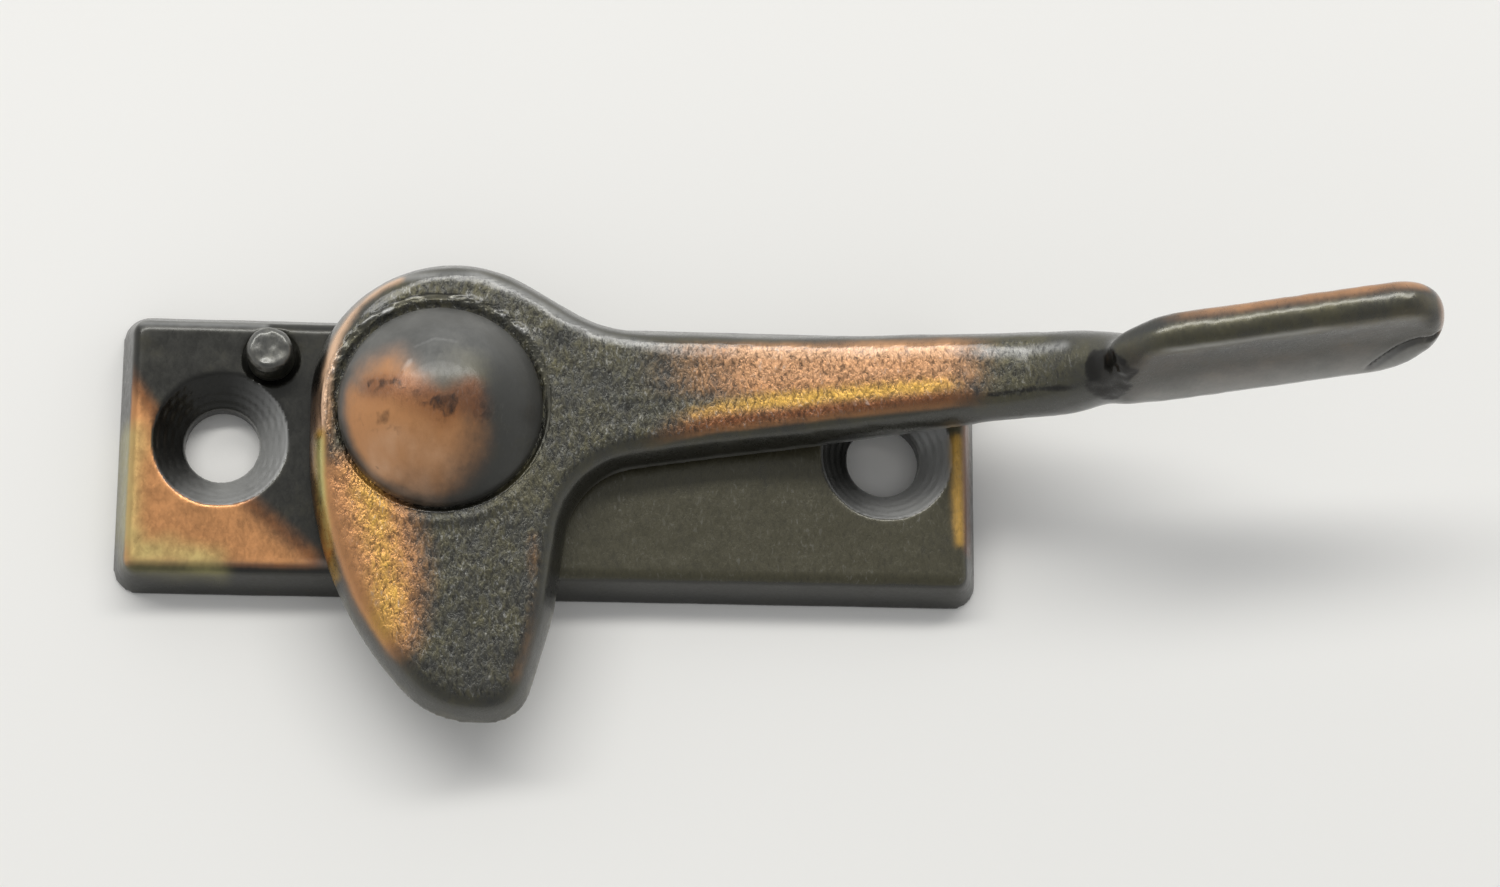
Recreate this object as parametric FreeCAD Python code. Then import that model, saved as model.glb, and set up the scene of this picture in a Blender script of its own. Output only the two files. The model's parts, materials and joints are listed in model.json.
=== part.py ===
import FreeCAD, Part
import math
import os

# Casement window fastener, cast iron with a flashed copper finish. Millimetres.
# A lever turns on a domed rivet on a two-screw base plate. One end of the lever is a
# broad tongue that catches a keeper; the other is an arm with a thumb blade on edge.
#
# Frame: the origin is midway between the two screw holes, on the plate's back face.
# +X runs along the plate towards the thumb blade, +Z points away from the window.

V = FreeCAD.Vector
UP = V(0, 0, 1)

# Base plate
PLATE_LENGTH = 54.0
PLATE_WIDTH = 17.8
PLATE_THICK = 3.2
PLATE_CORNER = 1.7
PLATE_DRAFT = math.radians(18)
PLATE_EDGE_ROUND = 0.75
PLATE_SHIFT = V(-0.25, -0.4, 0)
SCREW_SPACING = 41.5
SCREW_HOLE_R = 2.3
COUNTERSINK_R = 4.2
COUNTERSINK_DEPTH = 1.9

# Pivot and levels above the back face
PIVOT = V(-7.2, 1.5, 0)
WASHER_THICK = 0.36
WASHER_GAP = 0.04
LEVER_BACK = PLATE_THICK + WASHER_THICK + WASHER_GAP
LEVER_THICK = 3.2
LEVER_FACE = LEVER_BACK + LEVER_THICK
LEVER_PARTING = 1.2
LEVER_DRAFT = math.radians(23)
LEVER_EDGE_ROUND = 0.8

# Rivet
SHANK_R = 2.5
SHANK_CLEARANCE = 0.05
SEAT_R = 6.8
SEAT_DEPTH = 0.3
SEAT_SHIFT = V(-0.1, 0.3, 0)
DOME_R = 6.2
DOME_RIM = 0.7
DOME_HEIGHT = 3.3
DOME_GAP = 0.04
TAIL_R = 3.6
TAIL_THICK = 1.0
TAIL_CHAMFER = 0.6
TAIL_RECESS_R = 3.8
TAIL_RECESS_DEPTH = 1.2
WASHER_R = 5.4

# Stop pin, measured from the pivot
STOP_FROM_PIVOT = V(-10.6, 3.75, 0)
STOP_SHANK_R = 1.1
STOP_HEAD_R = 1.45
STOP_TOP = 5.7
STOP_TOP_ROUND = 0.45
STOP_RING_R = 1.75
STOP_RING_DEPTH = 0.25

# Lever: hub, tongue and neck, measured from the pivot
HUB_R = 8.85
HUB_SHIFT = V(0.8, 0.85, 0)
TONGUE_TIP_Y = -19.2
TONGUE_TIP_X = (-0.15, 5.3)
TONGUE_TIP_R = (6.0, 2.8)
TONGUE_LEFT_Y = -10.5
TONGUE_LEFT_R = 22.5
TONGUE_RIGHT = V(7.2, -12.5, 0)
TONGUE_RIGHT_R = 12.0
ARMPIT_X = 8.4
ARMPIT_R = 5.0
NECK_TOP_R = 8.0
NECK_RUN_OUT = 4.0
NECK_LOW_SLOPE = 0.156
HUB_CORNER_ANGLE = math.radians(30)
NECK_END = 17.0
TONGUE_WEDGE_START = -12.5
TONGUE_WEDGE_RISE = 1.0

# Arm: straight in plan, rising away from the plate
ARM_END = 39.5
ARM_RISE = 5.4
ARM_END_SLOPE = 0.20
ARM_END_THICK = 3.0
ARM_LOW_Y = (-2.25, 0.0)
ARM_HIGH_Y = (5.72, 4.98)
ARM_LOW_BOW = 0.15
LEVER_BACK_ROUND = 0.35

# Thumb blade: a leaf on edge
BLADE_ROOT = V(39.5, 1.9, 13.0)
BLADE_LENGTH = 21.0
BLADE_HEIGHT = 7.9
BLADE_THICK = 2.8
BLADE_ROOT_R = (1.6, 5.2)
BLADE_TIP_R = (4.5, 2.9)
BLADE_YAW = math.radians(7)
BLADE_SLOPE = math.radians(11.3)
BLADE_LEAN = math.radians(16.5)
BLADE_EDGE_ROUND = 1.2
THUMB_HOLLOW_R = 10.0
THUMB_HOLLOW_DEPTH = 0.45
THUMB_HOLLOW_FROM = 2.6
THUMB_HOLLOW_SHORT_OF_TIP = 1.4
THUMB_HOLLOW_UP = 0.3


def unit(vector):
    return vector * (1.0 / vector.Length)


def rounded_wire(corners, place):
    """Closed wire through corners (a, b, radius), each rounded by an arc; place maps a, b to space."""
    count = len(corners)
    points = [V(a, b, 0) for a, b, _ in corners]
    edges = []
    ends = []
    for i, (_, _, radius) in enumerate(corners):
        here = points[i]
        back = unit(points[i - 1] - here)
        ahead = unit(points[(i + 1) % count] - here)
        half = back.getAngle(ahead) / 2
        if radius <= 0:
            ends.append((here, here, None))
            continue
        reach = radius / math.tan(half)
        middle = unit(back + ahead) * (radius / math.sin(half) - radius)
        ends.append((here + back * reach, here + ahead * reach, here + middle))
    for i, (start, end, middle) in enumerate(ends):
        if middle is not None:
            edges.append(Part.Arc(place(start), place(middle), place(end)).toShape())
        following = ends[(i + 1) % count][0]
        if (following - end).Length > 1e-6:
            edges.append(Part.LineSegment(place(end), place(following)).toShape())
    return Part.Wire(edges)


def inset(corners, distance):
    """Moves every side of a counter-clockwise outline inwards; its arcs keep their centres."""
    count = len(corners)
    points = [V(a, b, 0) for a, b, _ in corners]
    moved = []
    for i, (_, _, radius) in enumerate(corners):
        before = unit(points[i] - points[i - 1])
        after = unit(points[(i + 1) % count] - points[i])
        normal = V(-before.y - after.y, before.x + after.x, 0)
        cosine = 1 + before.dot(after)
        corner = points[i] + normal * (distance / cosine)
        convex = before.cross(after).z > 0
        if radius > 0:
            radius += -distance if convex else distance
        moved.append((corner.x, corner.y, radius))
    return moved


def at_level(origin, z):
    """Places outline coordinates on the level z, measured from origin."""
    return lambda p: V(origin.x + p.x, origin.y + p.y, z)


def drafted_slab(corners, origin, low, high, draft):
    """A slab whose sides lean inwards towards its face."""
    face = inset(corners, (high - low) * math.tan(draft))
    wires = [
        rounded_wire(corners, at_level(origin, low)),
        rounded_wire(face, at_level(origin, high)),
    ]
    return Part.makeLoft(wires, True, True)


def edges_at(shape, z):
    """The edges that lie wholly on the level z."""
    return [e for e in shape.Edges if abs(e.BoundBox.ZMin - z) < 1e-4 and abs(e.BoundBox.ZMax - z) < 1e-4]


def cylinder(radius, low, high, centre):
    return Part.makeCylinder(radius, high - low, V(centre.x, centre.y, low), UP)


def make_base_plate():
    a = PLATE_LENGTH / 2
    b = PLATE_WIDTH / 2
    r = PLATE_CORNER
    corners = [(-a, -b, r), (a, -b, r), (a, b, r), (-a, b, r)]
    plate = drafted_slab(corners, PLATE_SHIFT, 0, PLATE_THICK, PLATE_DRAFT)
    plate = plate.makeFillet(PLATE_EDGE_ROUND, edges_at(plate, PLATE_THICK))

    for x in (-SCREW_SPACING / 2, SCREW_SPACING / 2):
        centre = V(x, 0, 0)
        plate = plate.cut(cylinder(SCREW_HOLE_R, -1, PLATE_THICK + 1, centre))
        cone = Part.makeCone(
            SCREW_HOLE_R, COUNTERSINK_R, COUNTERSINK_DEPTH, V(x, 0, PLATE_THICK - COUNTERSINK_DEPTH), UP
        )
        plate = plate.cut(cone)

    plate = plate.cut(cylinder(SHANK_R, -1, PLATE_THICK + 1, PIVOT))
    plate = plate.cut(cylinder(TAIL_RECESS_R, -1, TAIL_RECESS_DEPTH, PIVOT))

    stop = PIVOT + STOP_FROM_PIVOT
    ring_floor = PLATE_THICK - STOP_RING_DEPTH
    plate = plate.cut(cylinder(STOP_RING_R, ring_floor, PLATE_THICK + 1, stop))
    return plate.cut(cylinder(STOP_SHANK_R, -1, PLATE_THICK + 1, stop))


def make_stop_pin():
    stop = PIVOT + STOP_FROM_PIVOT
    floor = PLATE_THICK - STOP_RING_DEPTH
    head = cylinder(STOP_HEAD_R, floor, STOP_TOP, stop)
    head = head.makeFillet(STOP_TOP_ROUND, edges_at(head, STOP_TOP))
    return head.fuse(cylinder(STOP_SHANK_R, 0, floor, stop)).removeSplitter()


def make_friction_washer():
    low = PLATE_THICK
    ring = cylinder(WASHER_R, low, low + WASHER_THICK, PIVOT)
    return ring.cut(cylinder(SHANK_R + SHANK_CLEARANCE, low - 1, low + WASHER_THICK + 1, PIVOT))


def make_pivot_rivet():
    """Dome, shank and peened tail, turned about the pivot axis."""
    seat = LEVER_FACE - SEAT_DEPTH + DOME_GAP
    rim_top = seat + DOME_RIM
    dome_top = rim_top + DOME_HEIGHT
    tail_low = TAIL_RECESS_DEPTH - TAIL_THICK
    sphere_r = (DOME_R**2 + DOME_HEIGHT**2) / (2 * DOME_HEIGHT)
    half = math.asin(DOME_R / sphere_r) / 2
    dome_mid = V(sphere_r * math.sin(half), 0, dome_top - sphere_r * (1 - math.cos(half)))
    profile = [
        Part.LineSegment(V(0, 0, tail_low), V(TAIL_R - TAIL_CHAMFER, 0, tail_low)).toShape(),
        Part.LineSegment(V(TAIL_R - TAIL_CHAMFER, 0, tail_low), V(TAIL_R, 0, tail_low + TAIL_CHAMFER)).toShape(),
        Part.LineSegment(V(TAIL_R, 0, tail_low + TAIL_CHAMFER), V(TAIL_R, 0, TAIL_RECESS_DEPTH)).toShape(),
        Part.LineSegment(V(TAIL_R, 0, TAIL_RECESS_DEPTH), V(SHANK_R, 0, TAIL_RECESS_DEPTH)).toShape(),
        Part.LineSegment(V(SHANK_R, 0, TAIL_RECESS_DEPTH), V(SHANK_R, 0, seat)).toShape(),
        Part.LineSegment(V(SHANK_R, 0, seat), V(DOME_R, 0, seat)).toShape(),
        Part.LineSegment(V(DOME_R, 0, seat), V(DOME_R, 0, rim_top)).toShape(),
        Part.Arc(V(DOME_R, 0, rim_top), dome_mid, V(0, 0, dome_top)).toShape(),
        Part.LineSegment(V(0, 0, dome_top), V(0, 0, tail_low)).toShape(),
    ]
    rivet = Part.Face(Part.Wire(profile)).revolve(V(0, 0, 0), UP, 360)
    rivet.translate(PIVOT)
    return rivet


def lever_outline():
    """Outline of hub, tongue and neck at the parting line, counter-clockwise from the neck's upper side."""
    x, y = HUB_SHIFT.x, HUB_SHIFT.y
    hub_corner = HUB_R / math.cos(HUB_CORNER_ANGLE)
    neck_corner = x + (y + hub_corner - ARM_HIGH_Y[0]) / math.tan(HUB_CORNER_ANGLE)
    armpit_y = ARM_LOW_Y[0] - NECK_LOW_SLOPE * (NECK_END - ARMPIT_X)
    return [
        (NECK_END + NECK_RUN_OUT, ARM_HIGH_Y[0], 0),
        (neck_corner, ARM_HIGH_Y[0], NECK_TOP_R),
        (x, y + hub_corner, HUB_R),
        (x - HUB_R, y + hub_corner / 2, HUB_R),
        (x - HUB_R, TONGUE_LEFT_Y, TONGUE_LEFT_R),
        (TONGUE_TIP_X[0], TONGUE_TIP_Y, TONGUE_TIP_R[0]),
        (TONGUE_TIP_X[1], TONGUE_TIP_Y, TONGUE_TIP_R[1]),
        (TONGUE_RIGHT.x, TONGUE_RIGHT.y, TONGUE_RIGHT_R),
        (ARMPIT_X, armpit_y, ARMPIT_R),
        (NECK_END + NECK_RUN_OUT, ARM_LOW_Y[0] + NECK_LOW_SLOPE * NECK_RUN_OUT, 0),
    ]


def make_hub_and_tongue():
    outline = lever_outline()
    parting = LEVER_BACK + LEVER_PARTING
    upper = drafted_slab(outline, PIVOT, parting, LEVER_FACE, LEVER_DRAFT)
    upper = upper.makeFillet(LEVER_EDGE_ROUND, edges_at(upper, LEVER_FACE))
    lower = Part.Face(rounded_wire(outline, at_level(PIVOT, LEVER_BACK))).extrude(V(0, 0, LEVER_PARTING))
    lower = lower.makeFillet(LEVER_BACK_ROUND, edges_at(lower, LEVER_BACK))
    slab = upper.fuse(lower).removeSplitter()
    beyond = Part.makeBox(20, 60, 20, PIVOT + V(NECK_END, -30, -5))
    slab = slab.cut(beyond)

    # The tongue's back is a shallow wedge, which draws the window tight on its keeper.
    wedge = Part.makePolygon(
        [
            V(0, TONGUE_WEDGE_START, LEVER_BACK),
            V(0, TONGUE_TIP_Y, LEVER_BACK + TONGUE_WEDGE_RISE),
            V(0, TONGUE_TIP_Y, LEVER_BACK - 2),
            V(0, TONGUE_WEDGE_START, LEVER_BACK),
        ]
    )
    wedge = Part.Face(wedge).extrude(V(40, 0, 0))
    wedge.translate(PIVOT + V(-20, 0, 0))
    return slab.cut(wedge)


def arm_rise(share):
    """Height gained along the arm: level at the neck, at the blade's slope at its end."""
    end_slope = ARM_END_SLOPE * (ARM_END - NECK_END)
    return ARM_RISE * (3 * share**2 - 2 * share**3) + end_slope * (share**3 - share**2)


def arm_section(x, low_y, high_y, back_z, thick):
    """Section across the arm: upright sides up to the parting line, then leaning in to its face."""
    lean = (thick - LEVER_PARTING) * math.tan(LEVER_DRAFT)
    corners = [
        (low_y, back_z, LEVER_BACK_ROUND),
        (high_y, back_z, LEVER_BACK_ROUND),
        (high_y, back_z + LEVER_PARTING, 0),
        (high_y - lean, back_z + thick, LEVER_EDGE_ROUND),
        (low_y + lean, back_z + thick, LEVER_EDGE_ROUND),
        (low_y, back_z + LEVER_PARTING, 0),
    ]
    return rounded_wire(corners, lambda p: V(PIVOT.x + x, PIVOT.y + p.x, p.y))


def make_arm():
    """Loft from the neck to the blade's root, where it tapers away inside the blade."""
    sections = []
    steps = 6
    for i in range(steps + 1):
        share = i / steps
        x = NECK_END + share * (ARM_END - NECK_END)
        bow = ARM_LOW_BOW * 4 * share * (1 - share)
        low_y = ARM_LOW_Y[0] + share * (ARM_LOW_Y[1] - ARM_LOW_Y[0]) + bow
        high_y = ARM_HIGH_Y[0] + share * (ARM_HIGH_Y[1] - ARM_HIGH_Y[0])
        thick = LEVER_THICK + share * (ARM_END_THICK - LEVER_THICK)
        sections.append(arm_section(x, low_y, high_y, LEVER_BACK + arm_rise(share), thick))
    root_back = LEVER_BACK + ARM_RISE
    for beyond, narrow, lift in ((2.5, 0.45, 0.75), (5.0, 1.0, 1.6)):
        low_y = ARM_LOW_Y[1] + narrow + 0.12 * beyond
        high_y = ARM_HIGH_Y[1] - narrow
        sections.append(arm_section(ARM_END + beyond, low_y, high_y, root_back + lift, ARM_END_THICK - lift / 2))
    return Part.makeLoft(sections, True, False)


def make_blade():
    """Leaf in its own plane (along, up), given its thickness, hollowed for the thumb, then set."""
    tip = BLADE_LENGTH
    top = BLADE_HEIGHT / 2
    corners = [
        (0, -top, BLADE_ROOT_R[0]),
        (tip, -top, BLADE_TIP_R[0]),
        (tip, top, BLADE_TIP_R[1]),
        (0, top, BLADE_ROOT_R[1]),
    ]
    outline = rounded_wire(corners, lambda p: V(p.x, -BLADE_THICK / 2, p.y))
    leaf = Part.Face(outline).extrude(V(0, BLADE_THICK, 0))
    rims = [e for e in leaf.Edges if e.BoundBox.YLength < 1e-4]
    leaf = leaf.makeFillet(BLADE_EDGE_ROUND, rims)
    hollow_centre = -BLADE_THICK / 2 - THUMB_HOLLOW_R + THUMB_HOLLOW_DEPTH
    hollow_start = V(THUMB_HOLLOW_FROM, hollow_centre, THUMB_HOLLOW_UP)
    hollow_length = tip - THUMB_HOLLOW_SHORT_OF_TIP - THUMB_HOLLOW_FROM
    hollow = Part.makeCylinder(THUMB_HOLLOW_R, hollow_length, hollow_start, V(1, 0, 0))
    leaf = leaf.cut(hollow)

    leaf.rotate(V(0, 0, 0), V(1, 0, 0), -math.degrees(BLADE_LEAN))
    leaf.rotate(V(0, 0, 0), V(0, 1, 0), -math.degrees(BLADE_SLOPE))
    leaf.rotate(V(0, 0, 0), UP, math.degrees(BLADE_YAW))
    leaf.translate(PIVOT + BLADE_ROOT)
    return leaf


def make_lever():
    lever = make_hub_and_tongue().fuse(make_arm()).fuse(make_blade()).removeSplitter()
    bore = cylinder(SHANK_R + SHANK_CLEARANCE, 0, LEVER_FACE + 1, PIVOT)
    seat = cylinder(SEAT_R, LEVER_FACE - SEAT_DEPTH, LEVER_FACE + 1, PIVOT + SEAT_SHIFT)
    return lever.cut(bore).cut(seat)


PIECES = {
    "base_plate": make_base_plate,
    "stop_pin": make_stop_pin,
    "friction_washer": make_friction_washer,
    "pivot_rivet": make_pivot_rivet,
    "lever": make_lever,
}

os.makedirs("parts", exist_ok=True)
for name, make in PIECES.items():
    piece = make()
    if len(piece.Solids) == 1:
        piece = piece.Solids[0]
    box = piece.BoundBox
    print(
        f"{name}: {len(piece.Solids)} solid, valid {piece.isValid()}, {piece.Volume:.1f} mm3,"
        f" x {box.XMin:.2f}..{box.XMax:.2f}, y {box.YMin:.2f}..{box.YMax:.2f},"
        f" z {box.ZMin:.2f}..{box.ZMax:.2f}"
    )
    piece.exportStep(f"parts/{name}.step")
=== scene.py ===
import json
import math

import bmesh
import bpy
import numpy as np
from mathutils import Matrix, Vector


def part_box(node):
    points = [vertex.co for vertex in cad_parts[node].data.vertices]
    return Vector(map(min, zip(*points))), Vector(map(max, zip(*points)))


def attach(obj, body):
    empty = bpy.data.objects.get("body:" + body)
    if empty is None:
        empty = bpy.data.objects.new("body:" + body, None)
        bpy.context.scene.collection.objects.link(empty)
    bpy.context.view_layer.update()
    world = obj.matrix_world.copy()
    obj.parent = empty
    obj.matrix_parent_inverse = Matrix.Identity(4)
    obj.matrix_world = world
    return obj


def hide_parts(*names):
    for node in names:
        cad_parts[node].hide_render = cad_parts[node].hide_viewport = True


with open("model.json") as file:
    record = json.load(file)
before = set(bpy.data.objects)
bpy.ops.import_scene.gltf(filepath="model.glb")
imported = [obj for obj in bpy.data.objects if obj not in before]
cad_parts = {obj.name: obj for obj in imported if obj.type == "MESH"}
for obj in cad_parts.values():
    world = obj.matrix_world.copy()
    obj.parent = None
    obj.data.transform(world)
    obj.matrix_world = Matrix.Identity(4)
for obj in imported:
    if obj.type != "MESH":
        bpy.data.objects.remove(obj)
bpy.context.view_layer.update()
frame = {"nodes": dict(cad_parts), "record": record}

# Looks of a cast-iron casement fastener with a flashed copper finish.
# Lengths named in millimetres are measured from the pivot's axis at the plate's back face.

MM = 0.001
rivet_low, rivet_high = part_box("pivot_rivet")
PIVOT = Vector(((rivet_low.x + rivet_high.x) / 2, (rivet_low.y + rivet_high.y) / 2, 0))
DOME_R = (rivet_high.x - rivet_low.x) / 2 / MM
PLATE_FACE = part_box("base_plate")[1].z / MM
LEVER_FACE = 6.8

# The size of the mesh cells of each piece
LEVER_CELL = 0.2
PLATE_CELL = 0.2
RIVET_CELL = 0.16
PIN_CELL = 0.1

# The rivet's seat on the lever: closed up to the dome, with a torn lip round it
SEAT_GAP = 0.22
SEAT_DROP = 0.06
LIP_R = 6.95
LIP_HEIGHT = 0.16
RIM_SPREAD = 0.06

# Depths of the lever's surface marks
HAMMER_DEPTH = 0.08
FLASH_LINE_DEPTH = 0.22
PIT_DEPTH = 0.2

# The turned rings in the plate's countersinks, and the way to the side of each that is painted as lit, the
# other side being painted in shade
COUNTERSINK_R = 4.2
RING_PITCH = 0.42
RING_DEPTH = 0.018
BRIGHT_SIDE = (0.75, -0.66)

# The blade's own frame: along it, across its thickness, and up its height. These repeat the
# design's own values, since the frame holds no sizes of the blade
BLADE_ROOT = np.array([39.5, 1.9, 13.0])
BLADE_YAW = math.radians(7)
BLADE_SLOPE = math.radians(11.3)
BLADE_LEAN = math.radians(16.5)

# The arm's end is built up by this much, from this far along, to meet the blade's foot
ROOT_WELD = 2.4
ROOT_WELD_FROM = 34.8
ROOT_CREASE = np.array([40.2, 2.4, 12.1])


# ---------------------------------------------------------------- numbers on meshes


def coordinates(mesh):
    values = np.empty(len(mesh.vertices) * 3)
    mesh.vertices.foreach_get("co", values)
    return values.reshape(-1, 3)


def normals(mesh):
    values = np.empty(len(mesh.vertices) * 3)
    mesh.vertex_normals.foreach_get("vector", values)
    return values.reshape(-1, 3)


def from_pivot(mesh):
    """Vertex positions in millimetres from the pivot."""
    return (coordinates(mesh) - np.array(PIVOT)) / MM


def ramp(value, low, high):
    """A smooth step from 0 at low to 1 at high; high may be the smaller."""
    share = np.clip((value - low) / (high - low), 0, 1)
    return share * share * (3 - 2 * share)


def lattice(cells, seed):
    """A repeatable random number from 0 to 1 for each whole-number cell."""
    mixed = (cells * [374761393, 668265263, 1274126177]).sum(axis=1) + seed * 2246822519
    mixed = (mixed ^ (mixed >> 13)) * 1103515245
    mixed = mixed ^ (mixed >> 16)
    return (mixed & 0xFFFFFF) / 0xFFFFFF


def rough(points, size, seed, octaves=1):
    """Smooth random values from -1 to 1, with lumps about size across."""
    total = np.zeros(len(points))
    strength = 1.0
    weights = 0.0
    for octave in range(octaves):
        scaled = points / (size / 2**octave)
        cell = np.floor(scaled).astype(np.int64)
        part = scaled - cell
        part = part * part * (3 - 2 * part)
        value = np.zeros(len(points))
        for corner in range(8):
            step = np.array([corner & 1, corner >> 1 & 1, corner >> 2])
            weight = np.prod(np.where(step == 1, part, 1 - part), axis=1)
            value += weight * lattice(cell + step, seed + octave)
        total += strength * (2 * value - 1)
        weights += strength
        strength *= 0.5
    return total / weights


def near_path(x, y, path):
    """Distance in plan from each point to a line through the path's points."""
    best = np.full(len(x), 1e9)
    for (ax, ay), (bx, by) in zip(path, path[1:]):
        dx, dy = bx - ax, by - ay
        share = np.clip(((x - ax) * dx + (y - ay) * dy) / (dx * dx + dy * dy), 0, 1)
        best = np.minimum(best, np.hypot(x - ax - share * dx, y - ay - share * dy))
    return best


def above_line(x, y, start, end):
    """Signed distance to a line, positive on its left when going from start to end."""
    dx, dy = end[0] - start[0], end[1] - start[1]
    return (dx * (y - start[1]) - dy * (x - start[0])) / math.hypot(dx, dy)


def paint(mesh, name, values):
    """Keeps a mask on the mesh for its material to read."""
    layer = mesh.attributes.new(name, "FLOAT", "POINT")
    layer.data.foreach_set("value", np.clip(values, 0, 1).astype(np.float32))


# ---------------------------------------------------------------- shaping


def even_copy(node, name, voxel):
    """A copy of a CAD node with an even fine mesh that lies on the node's own surface."""
    source = frame["nodes"][node]
    mesh = source.data.copy()
    mesh.name = name
    mesh.materials.clear()
    welded = bmesh.new()
    welded.from_mesh(mesh)
    bmesh.ops.remove_doubles(welded, verts=welded.verts, dist=1e-7)
    welded.to_mesh(mesh)
    welded.free()
    piece = bpy.data.objects.new(name, mesh)
    bpy.context.scene.collection.objects.link(piece)
    remesh = piece.modifiers.new("even", "REMESH")
    remesh.mode = "VOXEL"
    remesh.voxel_size = voxel * MM
    wrap = piece.modifiers.new("true", "SHRINKWRAP")
    wrap.target = source
    wrap.wrap_method = "NEAREST_SURFACEPOINT"
    graph = bpy.context.evaluated_depsgraph_get()
    shaped = bpy.data.meshes.new_from_object(piece.evaluated_get(graph))
    piece.modifiers.clear()
    piece.data = shaped
    bpy.data.meshes.remove(mesh)
    shaped.name = name
    for name_left in [a.name for a in shaped.attributes if not a.is_required and not a.is_internal]:
        shaped.attributes.remove(shaped.attributes[name_left])
    return piece


def relax(mesh, rounds, weight=None):
    """Evens out the surface by moving each vertex towards its neighbours' middle."""
    ends = np.empty(len(mesh.edges) * 2, np.int64)
    mesh.edges.foreach_get("vertices", ends)
    share = 0.5 * (np.ones(len(mesh.vertices)) if weight is None else weight)
    moving = share > 0.0005
    pairs = ends.reshape(-1, 2)
    pairs = pairs[moving[pairs].any(axis=1)]
    touched, numbered = np.unique(pairs, return_inverse=True)
    first, second = numbered.reshape(-1, 2).T
    count = len(touched)
    degree = np.bincount(first, minlength=count) + np.bincount(second, minlength=count)
    whole = coordinates(mesh)
    place = whole[touched]
    step = share[touched, None]
    for _ in range(rounds):
        middle = np.empty_like(place)
        for axis in range(3):
            total = np.bincount(first, place[second, axis], count)
            total += np.bincount(second, place[first, axis], count)
            middle[:, axis] = total / degree
        place += (middle - place) * step
    whole[touched] = place
    mesh.vertices.foreach_set("co", whole.ravel())
    mesh.update()


def weld_root(mesh):
    """Builds up the arm's end in a soft slope, so that it runs on into the blade's foot."""
    x, y, z = from_pivot(mesh).T
    foot_x, foot_y, foot_z = ROOT_CREASE
    lengthways = ramp(x, ROOT_WELD_FROM, foot_x) * ramp(x, foot_x + 3.8, foot_x + 0.6)
    upwards = ramp(z, foot_z - 2.7, foot_z - 1.1) * ramp(z, foot_z + 4.6, foot_z)
    lift = ROOT_WELD * lengthways * np.exp(-(((y - foot_y) / 2.2) ** 2)) * upwards
    place = coordinates(mesh)
    place[:, 2] += lift * MM
    mesh.vertices.foreach_set("co", place.ravel())
    mesh.update()


def sink(mesh, depth):
    """Moves each vertex into the metal by depth millimetres."""
    place = coordinates(mesh) - normals(mesh) * (depth * MM)[:, None]
    mesh.vertices.foreach_set("co", place.ravel())
    mesh.update()


def smooth_shading(mesh):
    mesh.polygons.foreach_set("use_smooth", np.ones(len(mesh.polygons), bool))
    mesh.update()


def cast_skin(points, amount):
    """Depth of a sand casting's waves and pocks, never standing proud."""
    waves = 0.5 + 0.5 * rough(points, 2.6, 11, 2)
    pocks = 0.5 + 0.5 * rough(points, 0.8, 23)
    return amount * (0.05 * waves + 0.03 * pocks)


def blade_frame(points):
    """Positions in the blade's own frame: along, across and up."""
    yaw = Matrix.Rotation(BLADE_YAW, 3, "Z")
    slope = Matrix.Rotation(-BLADE_SLOPE, 3, "Y")
    lean = Matrix.Rotation(-BLADE_LEAN, 3, "X")
    turned = np.array(yaw @ slope @ lean)
    return (points - BLADE_ROOT) @ turned


# ---------------------------------------------------------------- materials


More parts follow.
